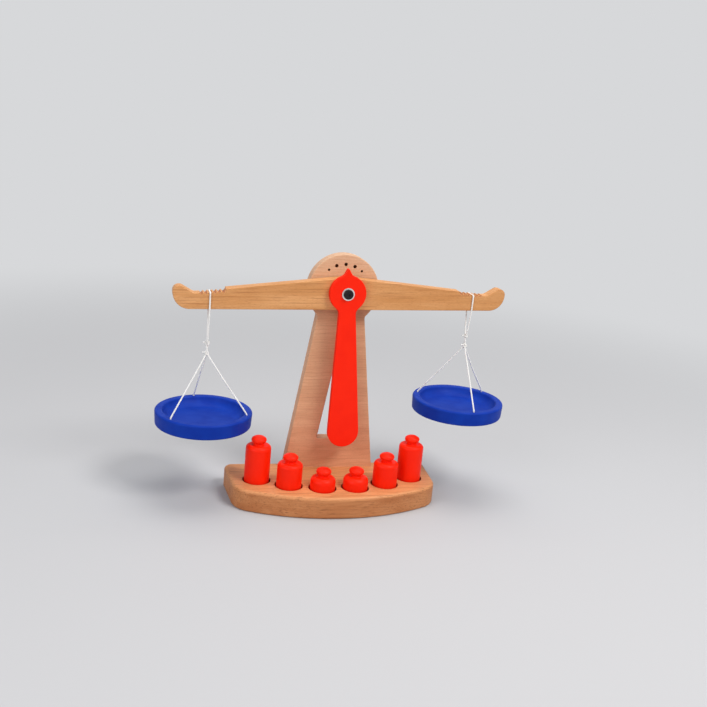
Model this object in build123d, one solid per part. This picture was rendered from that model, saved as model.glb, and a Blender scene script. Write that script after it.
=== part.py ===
from build123d import *
import math
import os

os.makedirs("parts", exist_ok=True)

# Wooden toy balance scale with two hanging pans and six stored weights.
# Millimetres, X to the right, Y away from the viewer, Z up.
# The origin lies on the underside of the base, below the pivot. Y = 0 is the beam's mid-plane.

# Base
base_width = 258.0
base_depth = 108.0
base_height = 26.0
base_front_arc = 243.0
base_side_lean = 4.0
base_back_corner = 10.0
base_front_corner = 30.0
base_top_round = 4.0
base_bottom_round = 2.2

# Pillar
pillar_thickness = 15.0
pillar_foot_width = 113.0
pillar_neck_width = 59.0
pillar_neck_height = 216.0
pillar_neck_fillet = 5.0
pillar_edge_round = 1.2
head_radius = 43.0
pivot_height = 252.0
opening_width = 34.8
opening_sill_height = 64.5
opening_apex_height = 180.0
opening_apex_round = 2.0
opening_corner_round = 1.5

# Scale marks: five blind holes in the head, on a circle about the pivot
mark_circle = 31.0
mark_inner_angle = 21.0
mark_outer_angle = 40.0
mark_diameter = 4.2
mark_outer_diameter = 3.0
mark_depth = 6.0

# Pivot bolt, washers and nut
bolt_diameter = 6.0
bolt_head_diameter = 11.6
bolt_head_height = 2.2
bolt_head_round = 0.7
bolt_socket = 4.0
bolt_socket_depth = 1.4
bolt_past_nut = 2.0
washer_diameter = 15.0
washer_thickness = 1.0
washer_bore = 6.4
spacer_diameter = 18.0
spacer_gap = 1.4
nut_flats = 10.0
nut_thickness = 5.0
running_gap = 0.25
bore_clearance = 0.1
fit_clearance = 0.05

# Beam
beam_length = 400.0
beam_thickness = 14.0
beam_below_pivot = 20.5
beam_above_pivot = 18.0
beam_crown_round = 30.0
beam_edge_round = 0.8
step_above_pivot = 3.4
step_height = 2.5
step_offset = 2.5
step_round = 1.0
step_root_round = 0.6
tip_above_pivot = 6.3
tip_top_width = 9.5
tip_slope_width = 14.0
tip_top_round = 7.0
tip_brow_round = 6.0
tip_foot_round = 8.0
tip_lower_round = 19.0
rest_tilt = 1.7

# Notches along the top of each end
notch_count = 6
notch_pitch = 5.0
notch_outer = 168.3
notch_line_fall = 3.0
notch_depth = 2.0
notch_width = 3.6
notch_root_round = 0.9
cord_notch = 2

# Pointer, fixed to the front of the beam
pointer_thickness = 7.0
pointer_disc_radius = 22.0
pointer_tip = 31.0
pointer_tip_base = 15.0
pointer_tip_width = 17.5
pointer_tip_round = 1.4
pointer_tip_fillet = 7.0
pointer_over_base = 35.5
pointer_tail_radius = 19.2
pointer_tail_neck = 17.4
pointer_neck_fillet = 9.0
pointer_edge_round = 1.0
pointer_skew = 1.5

# Dowels between the pointer and the beam
pointer_dowel_diameter = 4.0
pointer_dowel_length = 11.0
pointer_dowel_spread = 13.0

# Dowels and screws between the pillar and the base
pillar_dowel_diameter = 8.0
pillar_dowel_length = 32.0
pillar_dowel_spread = 40.0
pillar_screw_diameter = 4.0
pillar_screw_length = 46.0
pillar_screw_spread = 20.0
screw_head_diameter = 8.0
screw_head_height = 2.6
screw_head_recess = 1.0
screw_slot_length = 4.0
screw_slot_width = 1.0
screw_slot_depth = 1.0

# Cords
cord_diameter = 1.7
cord_clearance = 0.33
cord_edge_radius = 1.7
cord_bend_radius = 8.0
knot_diameter = 5.4
knot_pitch = 12.3
knot_gap = 0.3
leg_spread = 1.1
leg_below_beam = 2.5

# Pans
pan_diameter = 114.0
pan_height = 17.5
pan_taper = 1.0
pan_rim_width = 8.8
pan_wall_slope = 4.0
pan_dish_depth = 11.0
pan_dish_sag = 0.6
pan_dish_corner = 12.0
pan_rim_outer_round = 2.4
pan_rim_inner_round = 2.6
pan_bottom_round = 2.0
pan_cord_count = 3
pan_hole_circle = 51.5
pan_hole_diameter = 2.4
pan_hole_chamfer = 0.5
pan_hole_rise = 0.6
pocket_diameter = 4.8
pocket_depth = 5.4
stopper_diameter = 4.2
stopper_height = 3.6
stopper_round = 1.4
left_phase = -21.0
right_phase = 32.0
left_pan_over_weights = 5.5
right_pan_over_weights = 22.5
left_hang_share = 0.487
right_hang_share = 0.515

# Weights and their recesses
weight_diameter = 30.0
weight_heights = {"large": 61.3, "medium": 45.7, "small": 31.5}
weight_shoulders = {"large": 4.5, "medium": 4.5, "small": 6.0}
weight_foot_round = 1.0
weight_knob_diameter = 18.0
weight_knob_height = 8.6
weight_knob_under = 2.4
weight_knob_low_round = 3.0
weight_knob_crown = 3.0
weight_knob_crown_share = 0.5
weight_knob_side_round = 3.2
weight_knob_crown_round = 10.0
weight_neck_diameter = 12.6
weight_neck_height = 2.2
weight_neck_round = 0.7
weight_arc = 174.0
weight_arc_front = 54.2
weight_pitch_angle = 13.2
recess_diameter = 33.0
recess_depth = 6.0
recess_chamfer = 0.5

# One overrun serves all cuts, and one pick distance finds edges and corners
overrun = 1.0
pick_distance = 0.05

# Places worked out from the sizes above
beam_back = beam_thickness / 2
beam_front = -beam_thickness / 2
pillar_front = beam_back + spacer_gap
pillar_back = pillar_front + pillar_thickness
pillar_middle = (pillar_front + pillar_back) / 2
pointer_front = beam_front - pointer_thickness
base_front = pillar_back - base_depth
cord_radius = cord_diameter / 2
knot_radius = knot_diameter / 2
notch_x = notch_outer - cord_notch * notch_pitch
step_x = notch_outer - (notch_count - 1) * notch_pitch - step_offset
tip_brow_x = beam_length / 2 - tip_top_width
tip_foot_x = tip_brow_x - tip_slope_width
weight_order = ["large", "medium", "small", "small", "medium", "large"]
weight_sides = ["left", "left", "left", "right", "right", "right"]


def notch_line(x):
    """Height, from the pivot, of the edge that the notches are cut in."""
    start = step_above_pivot - step_height
    return start - notch_line_fall * (x - step_x) / (tip_foot_x - step_x)


notch_axis_z = notch_line(notch_x) - notch_depth + cord_clearance + cord_radius


def slab(face, y_start, thickness):
    """Face drawn in X and Z, made into a plate that runs towards +Y from y_start."""
    return Pos(0, y_start, 0) * extrude(Plane.XZ * face, amount=-thickness)


def outline(points, radii):
    """Closed face through the points, each corner rounded by its own radius."""
    return make_face(FilletPolyline(*points, radius=radii, close=True))


def rod(radius, y_start, length, x=0.0, z=0.0):
    """Round bar along Y."""
    return Pos(x, y_start, z) * extrude(Plane.XZ * Circle(radius), amount=-length)


def post(radius, z_start, height, x=0.0, y=0.0):
    """Round bar along Z."""
    return Pos(x, y, z_start) * extrude(Circle(radius), amount=height)


def tube(points, radii, radius):
    """Cord along straight runs joined by tangent arcs; prints its length against its volume."""
    if radii:
        path = FilletPolyline(*points, radius=radii)
    else:
        path = Line(*points)
    solid = sweep(Plane(origin=path @ 0, z_dir=path % 0) * Circle(radius), path=path)
    share = solid.volume / (math.pi * radius ** 2 * path.length)
    print(f"cord length {path.length:.1f}, radii {radii}, volume share {share:.4f}")
    return solid


def tilted(shape):
    """From the beam's own frame, with its origin at the pivot, to the rest pose: right end up."""
    return Pos(0, 0, pivot_height) * Rot(0, -rest_tilt, 0) * shape


def beam_place(x, z):
    """Place in X and Z of a point given in the beam's own frame."""
    t = math.radians(rest_tilt)
    return x * math.cos(t) - z * math.sin(t), pivot_height + x * math.sin(t) + z * math.cos(t)


def hanging(side, over_weights, hang_share):
    """Where one side hangs, plumb below its notch: X, then the heights of cord, lower knot and rim."""
    x, z = beam_place(side * notch_x, notch_axis_z)
    weights_top = base_height - recess_depth + max(weight_heights.values())
    rim_z = weights_top + over_weights + pan_height
    return x, z, rim_z + hang_share * (z - rim_z), rim_z


def face_edges(solid, y_values):
    """Edges that lie wholly in one of the given planes of constant Y."""
    found = []
    for y in y_values:
        found += solid.edges().filter_by_position(Axis.Y, y - pick_distance, y + pick_distance)
    return found


def weight_place(index):
    """Centre in X and Y of a weight, counted from the left."""
    angle = math.radians((index - (len(weight_order) - 1) / 2) * weight_pitch_angle)
    centre_y = weight_arc - weight_arc_front
    return weight_arc * math.sin(angle), centre_y - weight_arc * math.cos(angle)


def make_base():
    half = base_width / 2
    narrowing = base_depth * math.tan(math.radians(base_side_lean))
    plan = make_face(Polyline(
        (-half, pillar_back), (half, pillar_back),
        (half - narrowing, base_front - overrun), (-half + narrowing, base_front - overrun), close=True))
    plan = plan & (Pos(0, base_front + base_front_arc) * Circle(base_front_arc))
    by_depth = plan.vertices().sort_by(Axis.Y)
    front_points = [(v.X, v.Y) for v in by_depth[:2]]
    plan = fillet(by_depth[2:], base_back_corner)
    corners = [v for v in plan.vertices()
               if any(math.dist((v.X, v.Y), p) < pick_distance for p in front_points)]
    plan = fillet(corners, base_front_corner)
    solid = extrude(plan, amount=base_height)
    solid = fillet(solid.faces().sort_by(Axis.Z)[-1].edges(), base_top_round)
    solid = fillet(solid.faces().sort_by(Axis.Z)[0].edges(), base_bottom_round)
    for i in range(len(weight_order)):
        x, y = weight_place(i)
        floor = base_height - recess_depth
        solid -= post(recess_diameter / 2, floor, recess_depth + overrun, x, y)
        solid -= Pos(x, y, base_height) * revolve(Plane.XZ * make_face(Polyline(
            (0, 0), (recess_diameter / 2 + recess_chamfer, 0), (recess_diameter / 2, -recess_chamfer),
            (0, -recess_chamfer), close=True)), Axis.Z)
    for side in (-1, 1):
        solid -= post(pillar_dowel_diameter / 2 + fit_clearance, base_height - pillar_dowel_length / 2,
                      pillar_dowel_length, side * pillar_dowel_spread, pillar_middle)
        x = side * pillar_screw_spread
        solid -= post(pillar_screw_diameter / 2 + bore_clearance, -overrun,
                      base_height + 2 * overrun, x, pillar_middle)
        solid -= post(screw_head_diameter / 2 + bore_clearance, -overrun,
                      overrun + screw_head_recess, x, pillar_middle)
        solid -= Pos(x, pillar_middle, screw_head_recess) * screw_cone(bore_clearance)
    return solid


def screw_cone(grow):
    """Countersunk head of a screw that is driven in from below."""
    wide = screw_head_diameter / 2 + grow
    narrow = pillar_screw_diameter / 2 + grow
    return revolve(Plane.XZ * make_face(Polyline(
        (0, 0), (wide, 0), (narrow, screw_head_height), (0, screw_head_height), close=True)), Axis.Z)


def make_pillar():
    slope = (pillar_foot_width - pillar_neck_width) / 2 / (pillar_neck_height - base_height)
    top_half = pillar_foot_width / 2 - slope * (pivot_height - base_height)
    column = make_face(Polyline(
        (-pillar_foot_width / 2, base_height), (pillar_foot_width / 2, base_height),
        (top_half, pivot_height), (-top_half, pivot_height), close=True))
    face = column + Pos(0, pivot_height) * Circle(head_radius)
    necks = [v for v in face.vertices() if base_height + overrun < v.Y < pivot_height - overrun]
    face = fillet(necks, pillar_neck_fillet)
    face -= outline(
        [(-opening_width / 2, opening_sill_height), (opening_width / 2, opening_sill_height),
         (0, opening_apex_height)],
        [opening_corner_round, opening_corner_round, opening_apex_round])
    solid = slab(face, pillar_front, pillar_thickness)
    rounded = [e for e in face_edges(solid, (pillar_front, pillar_back))
               if e.center().Z > base_height + overrun]
    solid = fillet(rounded, pillar_edge_round)
    solid -= rod(bolt_diameter / 2 + bore_clearance, pillar_front - overrun, pillar_thickness + 2 * overrun,
                 z=pivot_height)
    for angle in (-mark_outer_angle, -mark_inner_angle, 0, mark_inner_angle, mark_outer_angle):
        size = mark_outer_diameter if abs(angle) == mark_outer_angle else mark_diameter
        a = math.radians(angle)
        solid -= rod(size / 2, pillar_front - overrun, mark_depth + overrun,
                     mark_circle * math.sin(a), pivot_height + mark_circle * math.cos(a))
    for side in (-1, 1):
        solid -= post(pillar_dowel_diameter / 2 + fit_clearance, base_height - overrun,
                      pillar_dowel_length / 2 + overrun, side * pillar_dowel_spread, pillar_middle)
        solid -= post(pillar_screw_diameter / 2 + fit_clearance, base_height - overrun,
                      screw_head_recess + pillar_screw_length - base_height + 2 * overrun,
                      side * pillar_screw_spread, pillar_middle)
    return solid


def make_pillar_dowels():
    return [post(pillar_dowel_diameter / 2, base_height - pillar_dowel_length / 2 + fit_clearance,
                 pillar_dowel_length - 2 * fit_clearance, side * pillar_dowel_spread, pillar_middle)
            for side in (-1, 1)]


def make_pillar_screws():
    screws = []
    for side in (-1, 1):
        x = side * pillar_screw_spread
        screw = Pos(x, pillar_middle, screw_head_recess) * screw_cone(0)
        screw += post(pillar_screw_diameter / 2, screw_head_recess, pillar_screw_length, x, pillar_middle)
        slot = Box(screw_head_diameter, screw_slot_width, screw_slot_depth + overrun)
        cross = slot + Rot(0, 0, 90) * slot
        screw -= Pos(x, pillar_middle, screw_head_recess + (screw_slot_depth - overrun) / 2) * (
            cross & Cylinder(screw_slot_length / 2, screw_slot_depth + overrun))
        screws.append(screw)
    return screws


washer_back = pointer_front - running_gap
washer_front = washer_back - washer_thickness
nut_front = pillar_back + washer_thickness


def make_pivot_bolt():
    head = rod(bolt_head_diameter / 2, washer_front - bolt_head_height, bolt_head_height, z=pivot_height)
    head = fillet(face_edges(head, (washer_front - bolt_head_height,)), bolt_head_round)
    shank_length = nut_front + nut_thickness + bolt_past_nut - washer_front
    bolt = head + rod(bolt_diameter / 2, washer_front, shank_length, z=pivot_height)
    socket = RegularPolygon(bolt_socket / 2, 6, major_radius=False)
    return bolt - Pos(0, washer_front - bolt_head_height - overrun, pivot_height) * extrude(
        Plane.XZ * socket, amount=-(bolt_socket_depth + overrun))


def make_ring(diameter, bore, y_start, thickness):
    face = Circle(diameter / 2) - Circle(bore / 2)
    return Pos(0, y_start, pivot_height) * extrude(Plane.XZ * face, amount=-thickness)


def make_pivot_nut():
    face = RegularPolygon(nut_flats / 2, 6, major_radius=False) - Circle(bolt_diameter / 2 + fit_clearance)
    return Pos(0, nut_front, pivot_height) * extrude(Plane.XZ * face, amount=-nut_thickness)


def make_beam():
    half = beam_length / 2
    right = [(half, tip_above_pivot), (tip_brow_x, tip_above_pivot), (tip_foot_x, notch_line(tip_foot_x)),
             (step_x, notch_line(step_x)), (step_x, step_above_pivot)]
    right_radii = [tip_top_round, tip_brow_round, tip_foot_round, step_root_round, step_round]
    left = [(-x, z) for x, z in reversed(right)]
    lower = [(-half, -beam_below_pivot), (half, -beam_below_pivot)]
    points = lower + right + [(0, beam_above_pivot)] + left
    radii = [tip_lower_round, tip_lower_round] + right_radii + [beam_crown_round] + right_radii[::-1]
    solid = slab(outline(points, radii), beam_front, beam_thickness)
    solid = fillet(face_edges(solid, (beam_front, beam_back)), beam_edge_round)
    notch = make_face(Polyline(
        (0, -notch_depth), (notch_width / 2, 0), (notch_width / 2, notch_depth),
        (-notch_width / 2, notch_depth), (-notch_width / 2, 0), close=True))
    flank = math.hypot(notch_width / 2, notch_depth)
    rise = notch_root_round * flank / (notch_width / 2) - notch_root_round
    root = fillet(notch.vertices().sort_by(Axis.Y)[0], notch_root_round)
    cutter = slab(Pos(0, -rise) * root, beam_front - overrun, beam_thickness + 2 * overrun)
    for i in range(notch_count):
        x = notch_outer - i * notch_pitch
        for side in (-1, 1):
            solid -= Pos(side * x, 0, notch_line(x)) * cutter
    solid -= rod(bolt_diameter / 2 + bore_clearance, beam_front - overrun, beam_thickness + 2 * overrun)
    for hole in pointer_dowel_holes():
        solid -= hole
    return tilted(solid)


def pointer_dowel_holes(grow=fit_clearance):
    length = pointer_dowel_length + 2 * grow
    radius = pointer_dowel_diameter / 2 + grow
    return [rod(radius, beam_front - length / 2, length, side * pointer_dowel_spread) for side in (-1, 1)]


def make_pointer():
    tail_z = base_height + pointer_over_base + pointer_tail_radius - pivot_height
    disc = Circle(pointer_disc_radius)
    tail = make_face(Polyline(
        (-pointer_tail_neck / 2, 0), (pointer_tail_neck / 2, 0), (pointer_tail_radius, tail_z),
        (-pointer_tail_radius, tail_z), close=True)) + Pos(0, tail_z) * Circle(pointer_tail_radius)
    tip = make_face(Polyline(
        (-pointer_tip_width / 2, pointer_tip_base), (pointer_tip_width / 2, pointer_tip_base),
        (0, pointer_tip), close=True))
    face = disc + tail + tip
    apex = [v for v in face.vertices() if v.Y > pointer_tip - pick_distance]
    face = fillet(apex, pointer_tip_round)
    flanks = [v for v in face.vertices()
              if pointer_tip_base < v.Y < pointer_disc_radius and abs(v.X) < pointer_tip_width / 2]
    face = fillet(flanks, pointer_tip_fillet)
    necks = [v for v in face.vertices()
             if -pointer_disc_radius < v.Y < -pointer_disc_radius / 2 and abs(v.X) < pointer_tail_neck]
    face = fillet(necks, pointer_neck_fillet)
    solid = Rot(0, -pointer_skew, 0) * slab(face, pointer_front, pointer_thickness)
    solid = fillet(face_edges(solid, (pointer_front, beam_front)), pointer_edge_round)
    solid -= rod(bolt_diameter / 2 + bore_clearance, pointer_front - overrun,
                 pointer_thickness + 2 * overrun)
    for hole in pointer_dowel_holes():
        solid -= hole
    return tilted(solid)


def make_pointer_dowels():
    return [tilted(dowel) for dowel in pointer_dowel_holes(0)]


def make_loop(x, z, lower_z):
    """Loop over the beam, its knot, the short cord below it and the knot at that cord's end."""
    leg_y = beam_back + cord_clearance + cord_radius
    knot_z = lower_z + knot_pitch
    bend_z = z - (beam_below_pivot + notch_axis_z) - leg_below_beam
    points = [(x, -leg_spread, knot_z), (x, -leg_y, bend_z), (x, -leg_y, z), (x, leg_y, z),
              (x, leg_y, bend_z), (x, leg_spread, knot_z)]
    loop = tube(points, [cord_bend_radius, cord_edge_radius, cord_edge_radius, cord_bend_radius],
                cord_radius)
    loop -= Pos(x, 0, knot_z) * Sphere(knot_radius + knot_gap)
    upper = Pos(x, 0, knot_z) * Sphere(knot_radius)
    lower = Pos(x, 0, lower_z) * Sphere(knot_radius)
    link = tube([(x, 0, knot_z), (x, 0, lower_z)], None, cord_radius) - upper - lower
    return loop, upper, link, lower


def pan_profile():
    radius = pan_diameter / 2
    inner = radius - pan_rim_width
    floor = inner - pan_wall_slope
    return outline(
        [(0, -pan_height), (radius - pan_taper, -pan_height), (radius, 0), (inner, 0),
         (floor, -pan_dish_depth + pan_dish_sag), (0, -pan_dish_depth)],
        [0, pan_bottom_round, pan_rim_outer_round, pan_rim_inner_round, pan_dish_corner, 0])


def pan_holes(phase):
    """Directions, in degrees about the pan's own axis, of its cords."""
    return [phase + 360 * i / pan_cord_count for i in range(pan_cord_count)]


def make_pan(x, knot_z, rim_z, phase):
    """Pan with its cords and their stopper knots."""
    pan = Pos(x, 0, rim_z) * revolve(Plane.XZ * pan_profile(), Axis.Z)
    stopper_z = rim_z - pan_height + pocket_depth - fit_clearance - stopper_height
    cords, stoppers = [], []
    for angle in pan_holes(phase):
        a = math.radians(angle)
        hx, hy = x + pan_hole_circle * math.cos(a), pan_hole_circle * math.sin(a)
        pan -= post(pan_hole_diameter / 2, rim_z - pan_height - overrun, pan_height + 2 * overrun, hx, hy)
        pan -= Pos(hx, hy, rim_z) * revolve(Plane.XZ * make_face(Polyline(
            (0, 0), (pan_hole_diameter / 2 + pan_hole_chamfer, 0),
            (pan_hole_diameter / 2, -pan_hole_chamfer), (0, -pan_hole_chamfer), close=True)), Axis.Z)
        pan -= post(pocket_diameter / 2, rim_z - pan_height - overrun, pocket_depth + overrun, hx, hy)
        stopper = post(stopper_diameter / 2, stopper_z, stopper_height, hx, hy)
        stopper = fillet(stopper.edges().filter_by(GeomType.CIRCLE), stopper_round)
        cord = tube([(x, 0, knot_z), (hx, hy, rim_z + pan_hole_rise), (hx, hy, stopper_z + stopper_height)],
                    [cord_edge_radius], cord_radius)
        cords.append(cord - Pos(x, 0, knot_z) * Sphere(knot_radius + knot_gap))
        stoppers.append(stopper)
    return pan, cords, stoppers


def make_weight(kind, index):
    x, y = weight_place(index)
    height = weight_heights[kind]
    radius = weight_diameter / 2
    knob = weight_knob_diameter / 2
    neck = weight_neck_diameter / 2
    knob_low = height - weight_knob_height
    shoulder = knob_low - weight_neck_height
    profile = outline(
        [(0, 0), (radius, 0), (radius, shoulder), (neck, shoulder), (neck, knob_low),
         (knob, knob_low + weight_knob_under), (knob, height - weight_knob_crown),
         (knob * weight_knob_crown_share, height), (0, height)],
        [0, weight_foot_round, weight_shoulders[kind], weight_neck_round, weight_neck_round,
         weight_knob_low_round, weight_knob_side_round, weight_knob_crown_round, 0])
    return Pos(x, y, base_height - recess_depth) * revolve(Plane.XZ * profile, Axis.Z)


def save(name, *solids):
    """One file for each named piece; a group keeps its solids apart."""
    if len(solids) == 1:
        shape = solids[0]
    else:
        shape = Compound(children=[Solid(s.solids()[0].wrapped) for s in solids])
    export_step(shape, f"parts/{name}.step")
    print(name, len(shape.solids()), "solid", f"{shape.volume:.0f} mm3")


save("base", make_base())
save("pillar", make_pillar())
save("pillar_dowels", *make_pillar_dowels())
save("pillar_screws", *make_pillar_screws())
save("pivot_bolt", make_pivot_bolt())
save("front_washer", make_ring(washer_diameter, washer_bore, washer_front, washer_thickness))
save("spacer_washer", make_ring(spacer_diameter, washer_bore, beam_back + running_gap,
                                spacer_gap - running_gap))
save("rear_washer", make_ring(washer_diameter, washer_bore, pillar_back, washer_thickness))
save("pivot_nut", make_pivot_nut())
save("beam", make_beam())
save("pointer", make_pointer())
save("pointer_dowels", *make_pointer_dowels())

for name, side, over_weights, hang_share, phase in (
        ("left", -1, left_pan_over_weights, left_hang_share, left_phase),
        ("right", 1, right_pan_over_weights, right_hang_share, right_phase)):
    x, notch_z, knot_z, rim_z = hanging(side, over_weights, hang_share)
    loop, upper, link, lower = make_loop(x, notch_z, knot_z)
    save(f"{name}_loop_cord", loop)
    save(f"{name}_upper_knot", upper)
    save(f"{name}_link_cord", link)
    save(f"{name}_lower_knot", lower)
    pan, cords, stoppers = make_pan(x, knot_z, rim_z, phase)
    save(f"{name}_pan", pan)
    save(f"{name}_pan_cords", *cords)
    save(f"{name}_stopper_knots", *stoppers)

for i, kind in enumerate(weight_order):
    save(f"{kind}_weight_{weight_sides[i]}", make_weight(kind, i))
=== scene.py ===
import math

import bpy
from mathutils import Matrix, Vector


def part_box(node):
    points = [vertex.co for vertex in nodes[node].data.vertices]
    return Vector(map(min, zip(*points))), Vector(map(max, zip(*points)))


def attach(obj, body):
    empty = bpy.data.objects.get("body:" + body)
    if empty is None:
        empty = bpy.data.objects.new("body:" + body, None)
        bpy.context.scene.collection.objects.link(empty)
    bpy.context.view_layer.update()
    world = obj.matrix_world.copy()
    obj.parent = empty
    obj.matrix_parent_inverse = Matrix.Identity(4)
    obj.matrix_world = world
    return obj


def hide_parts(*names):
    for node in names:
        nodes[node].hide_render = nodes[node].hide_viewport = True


# Looks of the wooden toy balance scale. Metres, X to the right, Y away, Z up.
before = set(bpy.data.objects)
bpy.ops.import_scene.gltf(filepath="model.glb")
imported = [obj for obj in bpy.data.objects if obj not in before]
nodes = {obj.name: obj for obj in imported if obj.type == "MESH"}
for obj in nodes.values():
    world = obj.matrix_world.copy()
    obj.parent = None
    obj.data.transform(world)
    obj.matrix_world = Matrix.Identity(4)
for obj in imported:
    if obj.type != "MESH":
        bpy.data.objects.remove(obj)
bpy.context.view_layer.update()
scene = bpy.context.scene

# Sizes and places as in the part's source
PIVOT_Z = 0.252
REST_TILT = math.radians(1.7)
PAN_HOLE_CIRCLE = 0.0515
PAN_CORDS = 3
WEIGHTS = [f"{size}_weight_{side}" for side in ("left", "right") for size in ("large", "medium", "small")]

# Each side: where its cord lies in its notch, the two knots, the pan's rim and the turn of the pan,
# the foot of the loop's legs below the notch, the twist that the loop starts with,
# and how far each pan cord bows sideways
SIDES = {
    "left": dict(outward=-1, x=-0.158189, notch=0.245914, upper=0.185566, lower=0.173266, rim=0.1043,
                 phase=-21.0, foot=-0.0603, twist=0.4, bows=(0.0, 0.0006, -0.0004)),
    "right": dict(outward=1, x=0.158272, notch=0.255306, upper=0.202613, lower=0.190313, rim=0.1213,
                  phase=32.0, foot=-0.0527, twist=1.9, bows=(0.0008, -0.0012, 0.0006)),
}


# Material tools. Sockets of a colour mix: factor, both colours, result
MIX_FACTOR, MIX_FIRST, MIX_SECOND, MIX_RESULT = 0, 6, 7, 2


class Graph:
    """Short way to write a material's nodes."""

    def __init__(self, name):
        self.material = bpy.data.materials.new(name)
        self.material.use_nodes = True
        self.tree = self.material.node_tree
        self.shader = self.tree.nodes["Principled BSDF"]

    def add(self, kind, inputs=None, **settings):
        node = self.tree.nodes.new(kind)
        for key, value in settings.items():
            setattr(node, key, value)
        for key, value in (inputs or {}).items():
            self.put(node.inputs[key], value)
        return node

    def put(self, socket, value):
        if isinstance(value, bpy.types.NodeSocket):
            self.tree.links.new(value, socket)
        else:
            socket.default_value = value

    def set(self, **sockets):
        for key, value in sockets.items():
            self.put(self.shader.inputs[key.replace("_", " ")], value)

    def place(self, location=(0, 0, 0), rotation=(0, 0, 0)):
        """Place on the object, moved and turned."""
        coordinates = self.add("ShaderNodeTexCoord").outputs["Object"]
        return self.add("ShaderNodeMapping", {
            "Vector": coordinates, "Location": location, "Rotation": rotation}).outputs[0]

    def scaled(self, vector, scale, location=(0, 0, 0)):
        return self.add("ShaderNodeMapping", {
            "Vector": vector, "Scale": scale, "Location": location}).outputs[0]

    def noise(self, vector, detail=2.0, roughness=0.5, distortion=0.0):
        return self.add("ShaderNodeTexNoise", {
            "Vector": vector, "Scale": 1.0, "Detail": detail, "Roughness": roughness,
            "Distortion": distortion}).outputs["Fac"]

    def spread(self, value, low, high, to_low=0.0, to_high=1.0):
        """Value stretched smoothly from one range to another."""
        return self.add("ShaderNodeMapRange", {
            "Value": value, "From Min": low, "From Max": high, "To Min": to_low, "To Max": to_high},
            interpolation_type="SMOOTHSTEP").outputs[0]

    def maths(self, operation, a, b=0.0):
        node = self.add("ShaderNodeMath", operation=operation)
        for socket, value in zip(node.inputs, (a, b)):
            self.put(socket, value)
        return node.outputs[0]

    def mix(self, factor, a, b, blend="MIX"):
        node = self.add("ShaderNodeMix", data_type="RGBA", blend_type=blend)
        self.put(node.inputs[MIX_FACTOR], factor)
        self.put(node.inputs[MIX_FIRST], a)
        self.put(node.inputs[MIX_SECOND], b)
        return node.outputs[MIX_RESULT]

    def bump(self, height, strength, distance):
        return self.add("ShaderNodeBump", {
            "Height": height, "Strength": strength, "Distance": distance}).outputs[0]


def linear(r, g, b):
    """Linear colour of an 8-bit screen colour."""
    def one(v):
        v /= 255
        return v / 12.92 if v <= 0.04045 else ((v + 0.055) / 1.055) ** 2.4
    return (one(r), one(g), one(b), 1.0)


def dress(material, *names):
    """Make this the only material of these nodes."""
    for name in names:
        slots = nodes[name].data.materials
        slots.clear()
        slots.append(material)


# Wood. Repeats per metre of its patterns, along the grain and twice across it
WANDER = (5, 22, 22)
CLOUD = (9, 70, 70)
FIBRE = (70, 1500, 1500)
DASH = (330, 2300, 2300)
STREAK = (18, 800, 800)
# Shifts that keep the dashes and streaks apart from the other patterns
DASH_SHIFT = (3.1, 1.7, 0.4)
STREAK_SHIFT = (7.7, 0.2, 5.1)
# How far the growth rings wander in Y and Z, and the period of the wave pattern at a scale of 1
RING_WANDER_Y, RING_WANDER_Z = 0.024, 0.016
WAVE_PERIOD = 0.314
RING_WIDTH = 0.0030
RING_SHARE = 0.42
# Ranges of each pattern over which it fades in, and what the fibres do to the three colours and the roughness
CLOUD_RANGE = (0.32, 0.70)
RING_RANGE = (0.55, 1.0)
STREAK_RANGE = (0.54, 0.72)
DASH_RANGE = (0.60, 0.68)
DASH_RELIEF_RANGE = (0.58, 0.68)
FIBRE_RANGE = (0.3, 0.7)
FIBRE_TINT = {"Red": (0.95, 1.05), "Green": (0.94, 1.05), "Blue": (0.92, 1.06)}
ROUGHNESS_RANGE = (0.25, 0.75)
WOOD_ROUGHNESS = (0.44, 0.58)


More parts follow.
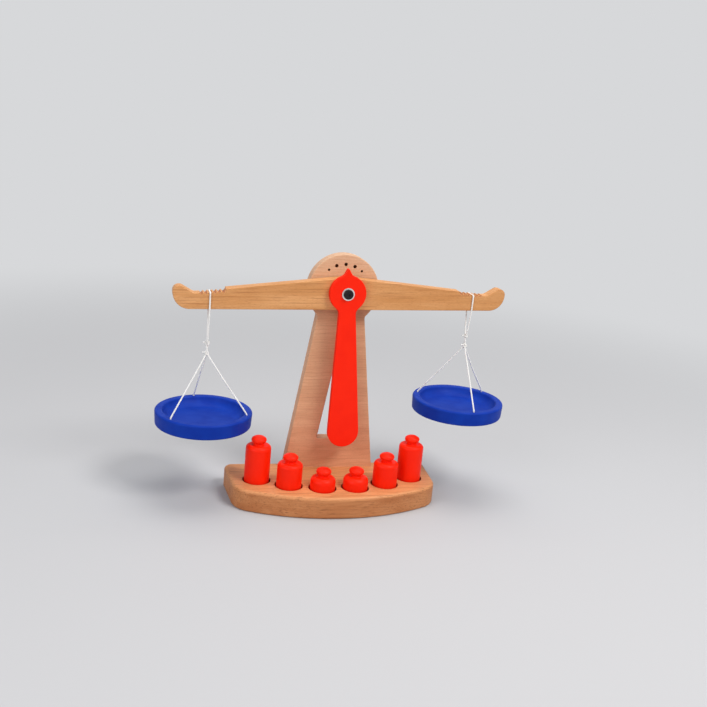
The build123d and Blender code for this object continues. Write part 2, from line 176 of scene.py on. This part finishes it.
def wood(name, light, dark, fleck, trunk, tilt=0.0, shift=0.0, fleck_share=0.5, streak_share=0.5,
         cloud_share=1.0, pale=None):
    """Beech with its grain along X: growth rings round a trunk axis, fibres, streaks and short dark flecks.

    pale is a lighter colour, with the heights between which it fades in: on the base a painted highlight
    along the top face and top edge, on the pillar a paler head.
    """
    g = Graph(name)
    base = g.place(location=(shift, 0, 0), rotation=(0, tilt, 0))
    wander = g.noise(g.scaled(base, WANDER))
    wandering = g.add("ShaderNodeCombineXYZ", {
        "Y": g.maths("MULTIPLY", wander, RING_WANDER_Y),
        "Z": g.maths("MULTIPLY", wander, RING_WANDER_Z)}).outputs[0]
    from_trunk = g.add("ShaderNodeVectorMath", {
        0: g.scaled(base, (1, 1, 1), trunk), 1: wandering}, operation="ADD").outputs[0]
    rings = g.add("ShaderNodeTexWave", {
        "Vector": from_trunk, "Scale": WAVE_PERIOD / RING_WIDTH, "Distortion": 1.2, "Detail": 2.0,
        "Detail Scale": 0.5}, wave_type="RINGS", rings_direction="X", wave_profile="SAW").outputs["Fac"]
    cloud = g.noise(g.scaled(base, CLOUD), detail=4.0, distortion=0.4)
    fibre = g.noise(g.scaled(base, FIBRE), detail=3.0, roughness=0.6)
    dash = g.noise(g.scaled(base, DASH, DASH_SHIFT), detail=1.0)
    streak = g.noise(g.scaled(base, STREAK, STREAK_SHIFT))

    tone = g.mix(g.maths("MULTIPLY", g.spread(cloud, *CLOUD_RANGE), cloud_share), light, dark)
    if pale:
        pale_colour, pale_low, pale_high = pale
        height = g.add("ShaderNodeSeparateXYZ", {"Vector": base}).outputs["Z"]
        tone = g.mix(g.spread(height, pale_low, pale_high), tone, pale_colour)
    tone = g.mix(g.maths("MULTIPLY", g.spread(rings, *RING_RANGE), RING_SHARE), tone, dark)
    tone = g.mix(g.maths("MULTIPLY", g.spread(streak, *STREAK_RANGE), streak_share), tone, fleck)
    tone = g.mix(g.maths("MULTIPLY", g.spread(dash, *DASH_RANGE), fleck_share), tone, fleck)
    tint = g.add("ShaderNodeCombineColor", {
        channel: g.spread(fibre, *FIBRE_RANGE, *ends) for channel, ends in FIBRE_TINT.items()}).outputs[0]
    relief = g.maths("SUBTRACT", g.maths("MULTIPLY", fibre, 0.5), g.spread(dash, *DASH_RELIEF_RANGE))
    g.set(Base_Color=g.mix(1.0, tone, tint, "MULTIPLY"),
          Roughness=g.spread(fibre, *ROUGHNESS_RANGE, *WOOD_ROUGHNESS),
          Normal=g.bump(relief, 0.30, 0.00006), Specular_IOR_Level=0.32)
    return g.material


beam_wood = wood(
    "beam_beech", linear(221, 163, 108), linear(201, 139, 82), linear(152, 90, 46),
    (0.0, 0.045, 0.02), tilt=REST_TILT, fleck_share=0.34, streak_share=0.46)
pillar_wood = wood(
    "pillar_beech", linear(219, 168, 130), linear(202, 147, 109), linear(166, 108, 74),
    (0.0, 0.060, -0.06), shift=0.31, fleck_share=0.35, streak_share=0.36, cloud_share=0.55,
    pale=(linear(215, 173, 139), 0.215, 0.285))
# The base's top face and top edge fade to a paler colour: a painted highlight
base_wood = wood(
    "base_beech", linear(199, 134, 85), linear(178, 109, 62), linear(130, 76, 41),
    (0.0, 0.085, 0.10), shift=0.72, fleck_share=0.26, streak_share=0.60,
    pale=(linear(219, 150, 98), 0.0215, 0.0262))
dowel_wood = wood(
    "dowel_beech", linear(222, 180, 136), linear(206, 158, 112), linear(176, 120, 78),
    (0.0, 0.02, 0.01), shift=1.3)
# Walls and ends of the scale-mark holes: darker cut wood with painted shade, so the whole hole reads dark
mark_shade_wood = wood(
    "mark_shade_beech", linear(150, 88, 52), linear(126, 72, 42), linear(94, 52, 30),
    (0.0, 0.03, 0.05), shift=2.1)
# Walls and floors of the recesses under the weights: painted shade in the recesses, on a darker cut-wood tone
recess_shade_wood = wood(
    "recess_shade_beech", linear(160, 98, 60), linear(128, 74, 44), linear(88, 48, 28),
    (0.0, 0.03, 0.05), shift=2.6)
# Faces in the beam's notches: painted shade in the notch valleys, on a darker sawn-wood tone
notch_shade_wood = wood(
    "notch_shade_beech", linear(206, 142, 90), linear(184, 118, 70), linear(140, 82, 44),
    (0.0, 0.03, 0.05), shift=3.3)

# Paint, metal and cord: repeats per metre of their patterns
PAINT_CLOUD = (60, 60, 60)
PAINT_FIBRE = (1100, 1100, 90)
PAINT_PEEL = (900, 900, 900)
METAL_SPECK = (900, 900, 900)
METAL_RINGS = 900.0
COTTON_CLOUD = (300, 300, 300)
# Repeats of the yarns round the cord and along its face coordinates
COTTON_YARN = (46, 9, 1)


def paint(name, main, deep, roughness):
    """Satin paint on wood: faint mottling, the fibres just telling through, fine orange peel."""
    g = Graph(name)
    base = g.place()
    cloud = g.noise(g.scaled(base, PAINT_CLOUD), detail=3.0)
    fibre = g.noise(g.scaled(base, PAINT_FIBRE))
    peel = g.noise(g.scaled(base, PAINT_PEEL), detail=1.0)
    g.set(Base_Color=g.mix(g.spread(cloud, 0.3, 0.75), main, deep),
          Roughness=g.spread(cloud, 0.3, 0.7, roughness - 0.03, roughness + 0.04),
          Normal=g.bump(g.maths("ADD", g.maths("MULTIPLY", fibre, 0.6), peel), 0.12, 0.00008),
          Specular_IOR_Level=0.14)
    return g.material


def metal(name, colour, roughness):
    """Metal with turning lines round the bolt's axis and fine specks."""
    g = Graph(name)
    base = g.place(location=(0, 0, -PIVOT_Z))
    rings = g.add("ShaderNodeTexWave", {
        "Vector": base, "Scale": METAL_RINGS, "Distortion": 2.0, "Detail": 2.0},
        wave_type="RINGS", rings_direction="Y").outputs["Fac"]
    speck = g.noise(g.scaled(base, METAL_SPECK))
    deep = tuple(c * 0.82 for c in colour[:3]) + (1.0,)
    g.set(Base_Color=g.mix(g.spread(speck, 0.35, 0.7), colour, deep),
          Roughness=g.spread(speck, 0.3, 0.7, roughness - 0.05, roughness + 0.08),
          Normal=g.bump(g.maths("ADD", g.maths("MULTIPLY", rings, 0.6), speck), 0.12, 0.00003),
          Metallic=1.0)
    return g.material


def cotton(name):
    """Twisted cotton: yarns along each strand, matt and slightly uneven."""
    g = Graph(name)
    uv = g.add("ShaderNodeUVMap", uv_map="UVMap").outputs[0]
    yarn = g.noise(g.scaled(uv, COTTON_YARN), roughness=0.6)
    cloud = g.noise(g.scaled(g.place(), COTTON_CLOUD))
    tone = g.mix(g.spread(yarn, 0.35, 0.7), linear(250, 249, 247), linear(226, 224, 221))
    tone = g.mix(g.maths("MULTIPLY", g.spread(cloud, 0.4, 0.75), 0.35), tone, linear(222, 218, 208))
    g.set(Base_Color=tone, Normal=g.bump(yarn, 0.6, 0.00012), Roughness=0.9, Specular_IOR_Level=0.2,
          Sheen_Weight=0.35, Sheen_Roughness=0.5)
    return g.material


red = paint("red_satin_paint", linear(251, 36, 4), linear(247, 32, 3), 0.42)
blue = paint("blue_satin_paint", linear(3, 53, 160), linear(2, 45, 149), 0.54)
bright = metal("zinc_plated_steel", linear(246, 244, 240), 0.26)
dark = metal("blackened_steel", linear(56, 53, 54), 0.38)
cord_cotton = cotton("twisted_cotton")

dress(base_wood, "base")
dress(pillar_wood, "pillar")
dress(beam_wood, "beam")
dress(dowel_wood, "pillar_dowels", "pointer_dowels")
dress(red, "pointer", *WEIGHTS)
dress(blue, "left_pan", "right_pan")
dress(bright, "front_washer", "rear_washer", "spacer_washer", "pivot_nut", "pillar_screws")
dress(dark, "pivot_bolt")

# Scale marks in the pillar's head: angle from upright and radius of each, on a circle about the pivot,
# between the pillar's front and the ends of the holes
MARKS = ((-40, 0.0015), (-21, 0.0021), (0, 0.0021), (21, 0.0021), (40, 0.0015))
MARK_CIRCLE = 0.031
MARK_FRONT, MARK_END = 0.0086, 0.0146
MARK_SLACK = 0.0001
# Recesses under the weights: radius with some slack, and their heights in the base
RECESS_REACH = 0.0167
RECESS_LOW, RECESS_HIGH = 0.0195, 0.0258
# Notches along the top of each end of the beam, in the beam's own frame
NOTCH_COUNT = 6
NOTCH_OUTER = 0.1683
NOTCH_PITCH = 0.005
NOTCH_REACH = 0.00178
NOTCH_LOWEST = -0.010
NOTCH_SIDEWAYS = 0.6


def dress_faces(name, material, chosen):
    """Give a node's second material to the faces whose middle and direction pass the test."""
    mesh = nodes[name].data
    mesh.materials.append(material)
    for face in mesh.polygons:
        if chosen(face.center, face.normal):
            face.material_index = len(mesh.materials) - 1


def weight_centre(name):
    """X and Y of a weight, which stands in the middle of its recess."""
    low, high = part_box(name)
    return (low.x + high.x) / 2, (low.y + high.y) / 2


recesses = [weight_centre(name) for name in WEIGHTS]
notches = [side * (NOTCH_OUTER - NOTCH_PITCH * i) for side in (-1, 1) for i in range(NOTCH_COUNT)]


def in_mark(c, n):
    if not MARK_FRONT < c.y < MARK_END:
        return False
    for degrees, radius in MARKS:
        a = math.radians(degrees)
        across, above = c.x - MARK_CIRCLE * math.sin(a), c.z - PIVOT_Z - MARK_CIRCLE * math.cos(a)
        if math.hypot(across, above) < radius + MARK_SLACK:
            return True
    return False


def in_recess(c, n):
    return RECESS_LOW < c.z < RECESS_HIGH and any(
        math.hypot(c.x - x, c.y - y) < RECESS_REACH for x, y in recesses)


def in_notch(c, n):
    x = c.x * math.cos(REST_TILT) + (c.z - PIVOT_Z) * math.sin(REST_TILT)
    z = (c.z - PIVOT_Z) * math.cos(REST_TILT) - c.x * math.sin(REST_TILT)
    return z > NOTCH_LOWEST and abs(n.y) < NOTCH_SIDEWAYS and any(abs(x - at) < NOTCH_REACH for at in notches)


# Faces inside the scale-mark holes get the darker wood with painted shade
dress_faces("pillar", mark_shade_wood, in_mark)
# Faces inside the recesses get the darker wood with painted shade
dress_faces("base", recess_shade_wood, in_recess)
# Faces in the notches get the darker wood with painted shade
dress_faces("beam", notch_shade_wood, in_notch)

# Lay of the cord: the strands' outer reach from its axis, their radius and offset as shares of that reach,
# the length of one turn, and the steps of the mesh
STRANDS = 3
STRAND_REACH = 0.00097
STRAND_RADIUS_SHARE, STRAND_OFFSET_SHARE = 0.59, 0.41
LAY = 0.0052
STEP = 0.00036
AROUND = 24
SPLINE_STEPS = 24
RINGS_PER_REPEAT = 24
# Slight unevenness along a cord: share of its radius, radians per metre, and how the start's twist shifts it
SWELLS = ((0.035, 900, 3), (0.02, 2300, 1))


def route_line(points):
    """Points read from the smooth spline of a route."""
    curve = bpy.data.curves.new("route", "CURVE")
    curve.dimensions = "3D"
    curve.resolution_u = SPLINE_STEPS
    spline = curve.splines.new("NURBS")
    spline.points.add(len(points) - 1)
    for p, q in zip(spline.points, points):
        p.co = (*q, 1.0)
    spline.order_u = 3
    spline.use_endpoint_u = True
    holder = bpy.data.objects.new("route", curve)
    mesh = bpy.data.meshes.new_from_object(holder)
    line = [v.co.copy() for v in mesh.vertices]
    bpy.data.objects.remove(holder)
    bpy.data.curves.remove(curve)
    bpy.data.meshes.remove(mesh)
    return line


def even(line):
    """The same line with its points an even step apart; a very short last step joins the one before."""
    out, rest = [line[0]], STEP
    for a, b in zip(line, line[1:]):
        run = (b - a).length
        while run > 1e-9 and rest <= run:
            out.append(a.lerp(b, rest / run))
            rest += STEP
        rest -= run
    if (out[-1] - line[-1]).length > STEP * 0.3:
        out.append(line[-1])
    else:
        out[-1] = line[-1]
    return out


def strand_profile(around):
    """Distance from the axis, as a share of the reach, of a bundle of strands."""
    a, b = STRAND_RADIUS_SHARE, STRAND_OFFSET_SHARE
    period = 2 * math.pi / STRANDS
    shares = []
    for i in range(around):
        t = 2 * math.pi * i / around
        phi = (t + period / 2) % period - period / 2
        shares.append(b * math.cos(phi) + math.sqrt(max(a * a - (b * math.sin(phi)) ** 2, 0.0)))
    return shares


def lay_tube(line, reach, around=AROUND, twist=0.0, closed=False):
    """Vertices, faces and face coordinates of a twisted cord along a line."""
    profile = strand_profile(around)
    verts, faces, coords = [], [], []
    last = len(line) - 1
    normal = None
    gone = 0.0
    for i, p in enumerate(line):
        before = line[i - 1] if i else (line[-2] if closed else line[0])
        after = line[i + 1] if i < last else (line[1] if closed else line[-1])
        tangent = (after - before).normalized()
        if normal is None:
            normal = tangent.orthogonal().normalized()
        normal = (normal - tangent * normal.dot(tangent)).normalized()
        side = tangent.cross(normal)
        gone += (p - line[i - 1]).length if i else 0.0
        swell = 1.0 + sum(share * math.sin(gone * rate + twist * shift) for share, rate, shift in SWELLS)
        angle = twist + 2 * math.pi * gone / LAY
        for k, share in enumerate(profile):
            t = 2 * math.pi * k / around + angle
            r = reach * share * swell
            verts.append(p + normal * (r * math.cos(t)) + side * (r * math.sin(t)))
    for i in range(last):
        for k in range(around):
            a, b = i * around + k, i * around + (k + 1) % around
            faces.append((a, b, b + around, a + around))
            u0, u1 = k / around, (k + 1) / around
            v0, v1 = i / RINGS_PER_REPEAT, (i + 1) / RINGS_PER_REPEAT
            coords.append(((u0, v0), (u1, v0), (u1, v1), (u0, v1)))
    for end in (0, last):
        centre = len(verts)
        verts.append(line[end].copy())
        for k in range(around):
            a, b = end * around + k, end * around + (k + 1) % around
            faces.append((centre, b, a) if end == 0 else (centre, a, b))
            coords.append(((0.5, 0.5), (k / around, 0), ((k + 1) / around, 0)))
    return verts, faces, coords


def build(name, tubes, replaced, body):
    """One cord piece from several tubes, in place of a CAD node and riding on a body."""
    verts, faces, coords = [], [], []
    for v, f, c in tubes:
        start = len(verts)
        verts += v
        faces += [tuple(i + start for i in face) for face in f]
        coords += c
    mesh = bpy.data.meshes.new(name)
    mesh.from_pydata(verts, [], faces)
    layer = mesh.uv_layers.new(name="UVMap")
    flat = [uv for face in coords for uv in face]
    for loop, uv in zip(layer.data, flat):
        loop.uv = uv
    for face in mesh.polygons:
        face.use_smooth = True
    mesh.materials.append(cord_cotton)
    mesh.validate()
    piece = bpy.data.objects.new(name, mesh)
    scene.collection.objects.link(piece)
    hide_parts(replaced)
    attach(piece, body)
    return piece


def free_cord(name, points, twist, replaced, body):
    """A cord along a route."""
    line = even(route_line(points))
    piece = build(name, [lay_tube(line, STRAND_REACH, twist=twist)], replaced, body)


# Knots: the unit of the knot's line and how far it is stretched upwards, the reach of its cord,
# the place, direction, length and droop of its free end, the reach of that end, and the points round it
UPPER_KNOT = dict(unit=0.00076, stretch=1.05, reach=0.00092, tail_from=(-0.0014, -0.0004, 0.0004),
                  tail_towards=(-0.93, -0.2, 0.3), tail_length=0.0042, droop=0.0012, tail_reach=0.0008,
                  around=AROUND)
LOWER_KNOT = dict(unit=0.00078, stretch=1.1, reach=0.00094, tail_from=(-0.0014, -0.0006, 0.0006),
                  tail_towards=(-0.85, -0.3, 0.42), tail_length=0.0048, droop=0.0016, tail_reach=0.0008,
                  around=AROUND)
STOPPER_KNOT = dict(unit=0.00047, stretch=0.95, reach=0.00062, tail_from=(0, 0, -0.0006),
                    tail_towards=(0.1, 0.1, -1.0), tail_length=0.0016, droop=0.0, tail_reach=0.0006,
                    around=18)
# Turns of the upper and lower knots on the right side; the left side has them the other way round
UPPER_TURN, LOWER_TURN = 0.35, -0.5
KNOT_STEPS = 96
KNOT_DEPTH = 1.35
TAIL_STEPS = 14


def knot_line(centre, unit, turn, stretch):
    """Closed line of an overhand knot, seen from its open side along Y."""
    points = []
    for i in range(KNOT_STEPS + 1):
        t = 2 * math.pi * i / KNOT_STEPS
        x = (2 + math.cos(3 * t)) * math.cos(2 * t)
        z = (2 + math.cos(3 * t)) * math.sin(2 * t) * stretch
        y = KNOT_DEPTH * math.sin(3 * t)
        c, s = math.cos(turn), math.sin(turn)
        points.append(centre + Vector((x * c - y * s, x * s + y * c, z)) * unit)
    return points


def tail(start, direction, length, droop):
    """Short free end of a tied cord."""
    line = []
    for i in range(TAIL_STEPS + 1):
        s = i / TAIL_STEPS
        line.append(start + direction * (length * s) + Vector((0, 0, -droop * s * s)))
    return line


def tied(centre, knot, turn):
    """The tubes of a knot and of its free end."""
    loops = knot_line(centre, knot["unit"], turn, knot["stretch"])
    free_end = tail(centre + Vector(knot["tail_from"]), Vector(knot["tail_towards"]),
                    knot["tail_length"], knot["droop"])
    return [lay_tube(loops, knot["reach"], knot["around"], closed=True),
            lay_tube(free_end, knot["tail_reach"], knot["around"])]


# Route of one leg of a loop, above its foot: Y and the height from the cord's place in its notch
LEG_FOOT_Y = 0.0018
LEG_ROUTE = [(0.0081, -0.0222), (0.0082, -0.0102), (0.0082, -0.0019), (0.0082, 0.0), (0.0062, 0.0)]
# Route of a pan cord: distance from the pan's axis and height above the rim
PAN_ROUTE = [(0.0, 0.0690), (0.0215, 0.0392), (0.0452, 0.0090), (0.0497, 0.0031), (PAN_HOLE_CIRCLE, 0.0006),
             (PAN_HOLE_CIRCLE, -0.0026), (PAN_HOLE_CIRCLE, -0.01215)]
# The sideways bow is on the part of the route between these distances from the axis
BOW_FROM, BOW_TO = 0.01, 0.04
PAN_TWIST_STEP = 1.3
STOPPER_DROP = 0.0140
# The link between the knots: two strands about each other, from just inside the upper knot
LINK_STEPS = 24
LINK_START_SHARE = 0.14
LINK_OFFSET = 0.00082
LINK_REACH = 0.00088
LINK_TURN, LINK_FIRST_ANGLE = 2.4, 0.3


def make_loop(side, s):
    leg = [(LEG_FOOT_Y, s["foot"])] + LEG_ROUTE
    route = [(-y, z) for y, z in leg] + leg[::-1]
    free_cord(f"{side}_loop_twisted_cord", [(s["x"], y, s["notch"] + z) for y, z in route], s["twist"],
              f"{side}_loop_cord", f"{side}_loop")


def link_strand(upper, lower, start):
    line = []
    for i in range(LINK_STEPS + 1):
        t = i / LINK_STEPS
        a = start + LINK_TURN * t + LINK_FIRST_ANGLE
        centre = upper.lerp(lower, LINK_START_SHARE + (1 - LINK_START_SHARE) * t)
        line.append(centre + Vector((math.cos(a), math.sin(a), 0)) * LINK_OFFSET)
    return lay_tube(even(line), LINK_REACH, twist=start)


def make_tied_pieces(side, s):
    upper, lower = Vector((s["x"], 0, s["upper"])), Vector((s["x"], 0, s["lower"]))
    parts = {
        "upper_knot": tied(upper, UPPER_KNOT, UPPER_TURN * s["outward"]),
        "link_cord": [link_strand(upper, lower, start) for start in (0.0, math.pi)],
        "lower_knot": tied(lower, LOWER_KNOT, LOWER_TURN * s["outward"]),
    }
    for part, tubes in parts.items():
        build(f"{side}_{part}_tied", tubes, f"{side}_{part}", f"{side}_link")


def make_pan_cords(side, s):
    centre = Vector((s["x"], 0, s["rim"]))
    stoppers = []
    for i, bow in enumerate(s["bows"]):
        a = math.radians(s["phase"] + 360 / PAN_CORDS * i)
        out, across = Vector((math.cos(a), math.sin(a), 0)), Vector((-math.sin(a), math.cos(a), 0))
        points = []
        for r, z in PAN_ROUTE:
            sideways = bow if BOW_FROM < r < BOW_TO else 0.0
            points.append(tuple(centre + out * r + Vector((0, 0, z)) + across * sideways))
        free_cord(f"{side}_pan_twisted_cord_{i + 1}", points, i * PAN_TWIST_STEP, f"{side}_pan_cords",
                  f"{side}_hanging_pan")
        below = centre + out * PAN_HOLE_CIRCLE + Vector((0, 0, -STOPPER_DROP))
        stoppers += tied(below, STOPPER_KNOT, a)
    build(f"{side}_stopper_knots_tied", stoppers, f"{side}_stopper_knots", f"{side}_hanging_pan")


for side, s in SIDES.items():
    make_loop(side, s)
    make_tied_pieces(side, s)
    make_pan_cords(side, s)

# Stage: a round floor of rings, which fades far from the object into the plain pale background
PALE = linear(215, 216, 218)
FLOOR_RADII = (0.15, 0.3, 0.5, 0.8, 1.2, 1.8, 2.8, 5.0, 12.0)
FLOOR_SIDES = 96
FLOOR_Z = -0.0002
FADE_FROM, FADE_TO = 0.4, 1.5


def floor_mesh():
    points = [(0.0, 0.0, FLOOR_Z)]
    for r in FLOOR_RADII:
        for k in range(FLOOR_SIDES):
            a = 2 * math.pi * k / FLOOR_SIDES
            points.append((r * math.cos(a), r * math.sin(a), FLOOR_Z))
    faces = [(0, 1 + k, 1 + (k + 1) % FLOOR_SIDES) for k in range(FLOOR_SIDES)]
    for i in range(len(FLOOR_RADII) - 1):
        for k in range(FLOOR_SIDES):
            a, b = 1 + i * FLOOR_SIDES + k, 1 + i * FLOOR_SIDES + (k + 1) % FLOOR_SIDES
            faces.append((a, a + FLOOR_SIDES, b + FLOOR_SIDES, b))
    mesh = bpy.data.meshes.new("floor")
    mesh.from_pydata(points, [], faces)
    return mesh


def seen(graph):
    """One for what the camera sees, straight or in metal or glass, else nought."""
    path = graph.add("ShaderNodeLightPath")
    either = graph.maths("MAXIMUM", path.outputs["Is Camera Ray"], path.outputs["Is Glossy Ray"])
    return graph.maths("MAXIMUM", either, path.outputs["Is Transmission Ray"])


def floor_material():
    g = Graph("plain_floor")
    g.set(Base_Color=linear(192, 192, 194), Roughness=0.9, Specular_IOR_Level=0.1)
    away = g.add("ShaderNodeVectorMath", {0: g.place()}, operation="LENGTH").outputs["Value"]
    far = g.maths("MULTIPLY", g.spread(away, FADE_FROM, FADE_TO), seen(g))
    glow = g.add("ShaderNodeEmission", {"Color": PALE, "Strength": 1.0}).outputs[0]
    blended = g.add("ShaderNodeMixShader", {0: far, 1: g.shader.outputs[0], 2: glow}).outputs[0]
    g.put(g.tree.nodes["Material Output"].inputs["Surface"], blended)
    return g.material


class Sky(Graph):
    """The same short way for the world's nodes."""

    def __init__(self, name):
        self.world = bpy.data.worlds.new(name)
        self.world.use_nodes = True
        self.tree = self.world.node_tree
        self.shader = self.tree.nodes["Background"]


def studio_world():
    g = Sky("studio")
    g.set(Color=(0.97, 0.98, 1.0, 1.0), Strength=0.43)
    plain = g.add("ShaderNodeBackground", {"Color": PALE, "Strength": 1.0}).outputs[0]
    either = g.add("ShaderNodeMixShader", {0: seen(g), 1: g.shader.outputs[0], 2: plain}).outputs[0]
    g.put(g.tree.nodes["World Output"].inputs["Surface"], either)
    return g.world


def lamp(name, place, target, size, power, colour=(1, 1, 1)):
    data = bpy.data.lights.new(name, "AREA")
    data.shape = "RECTANGLE"
    data.size, data.size_y = size
    data.energy = power
    data.color = colour
    obj = bpy.data.objects.new(name, data)
    scene.collection.objects.link(obj)
    obj.location = place
    obj.rotation_euler = (Vector(target) - Vector(place)).to_track_quat("-Z", "Y").to_euler()


floor = bpy.data.objects.new("floor", floor_mesh())
floor.data.materials.append(floor_material())
scene.collection.objects.link(floor)
scene.world = studio_world()
lamp("key", (0.85, -1.05, 1.70), (0, 0, 0.15), (0.8, 0.6), 25.0, (1.0, 0.985, 0.965))
lamp("fill", (-1.4, -1.2, 0.9), (0, 0, 0.15), (1.2, 1.0), 12.5, (0.98, 0.99, 1.0))
lamp("top", (0.1, 0.3, 1.8), (0, 0, 0.1), (1.2, 1.0), 13.0)

# Camera: the picture's own viewpoint, held between the directions that the photograph shows
IMAGE_PIXELS = 707.0
FOCAL_PIXELS = 886.4
SENSOR = 36.0
EYE = (-0.2594, -0.9920, 0.4586)
YAW, PITCH, ROLL = (math.radians(v) for v in (15.57, 15.31, -5.5))
forward = Vector((math.sin(YAW) * math.cos(PITCH), math.cos(YAW) * math.cos(PITCH), -math.sin(PITCH)))
level = Vector((math.cos(YAW), -math.sin(YAW), 0))
down = forward.cross(level)
right = level * math.cos(ROLL) + down * math.sin(ROLL)
up = level * math.sin(ROLL) - down * math.cos(ROLL)
camera_data = bpy.data.cameras.new("camera")
camera_data.sensor_width = SENSOR
camera_data.lens = SENSOR * FOCAL_PIXELS / IMAGE_PIXELS
camera_data.clip_start, camera_data.clip_end = 0.05, 20.0
camera = bpy.data.objects.new("camera", camera_data)
scene.collection.objects.link(camera)
turned = Matrix((right, up, -forward)).transposed().to_4x4()
camera.matrix_world = Matrix.Translation(EYE) @ turned
scene.camera = camera
scene.view_settings.view_transform = "Standard"
